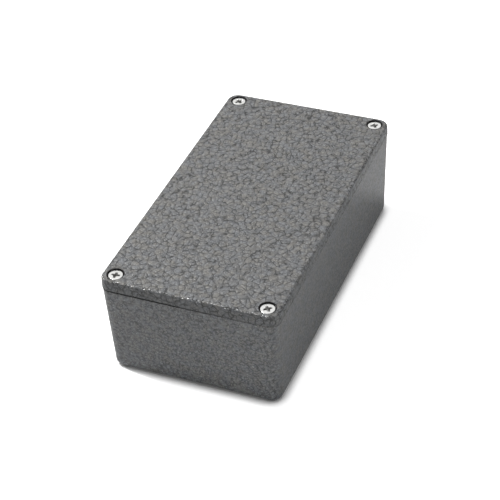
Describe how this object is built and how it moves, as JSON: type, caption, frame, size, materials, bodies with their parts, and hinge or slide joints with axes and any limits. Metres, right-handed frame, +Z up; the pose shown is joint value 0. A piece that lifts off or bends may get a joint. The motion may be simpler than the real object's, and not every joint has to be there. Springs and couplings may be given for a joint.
{
  "type": "die cast aluminium box",
  "caption": "Small die cast instrument box: a tapered, round-cornered base with screw bosses and board slots, and a rimmed lid held down by countersunk corner screws.",
  "frame": {"origin": "middle of the flat underside of the base, on the surface the box stands on", "axes": "+Z up from the underside to the lid, +Y along the length away from the end that faces the viewer, +X across the width to the right"},
  "size_m": [0.065, 0.12, 0.04],
  "materials": {
    "hammertone_paint": "grey hammertone stoving paint on die cast aluminium, semi-gloss, with a fine network of darker veins",
    "plated_screw": "bright nickel plating on steel"
  },
  "bodies": {
    "root": {"base": "hammertone_paint", "lid": "hammertone_paint", "lid_screw_near_left": "plated_screw", "lid_screw_near_right": "plated_screw", "lid_screw_far_left": "plated_screw", "lid_screw_far_right": "plated_screw"}
  },
  "joints": []
}
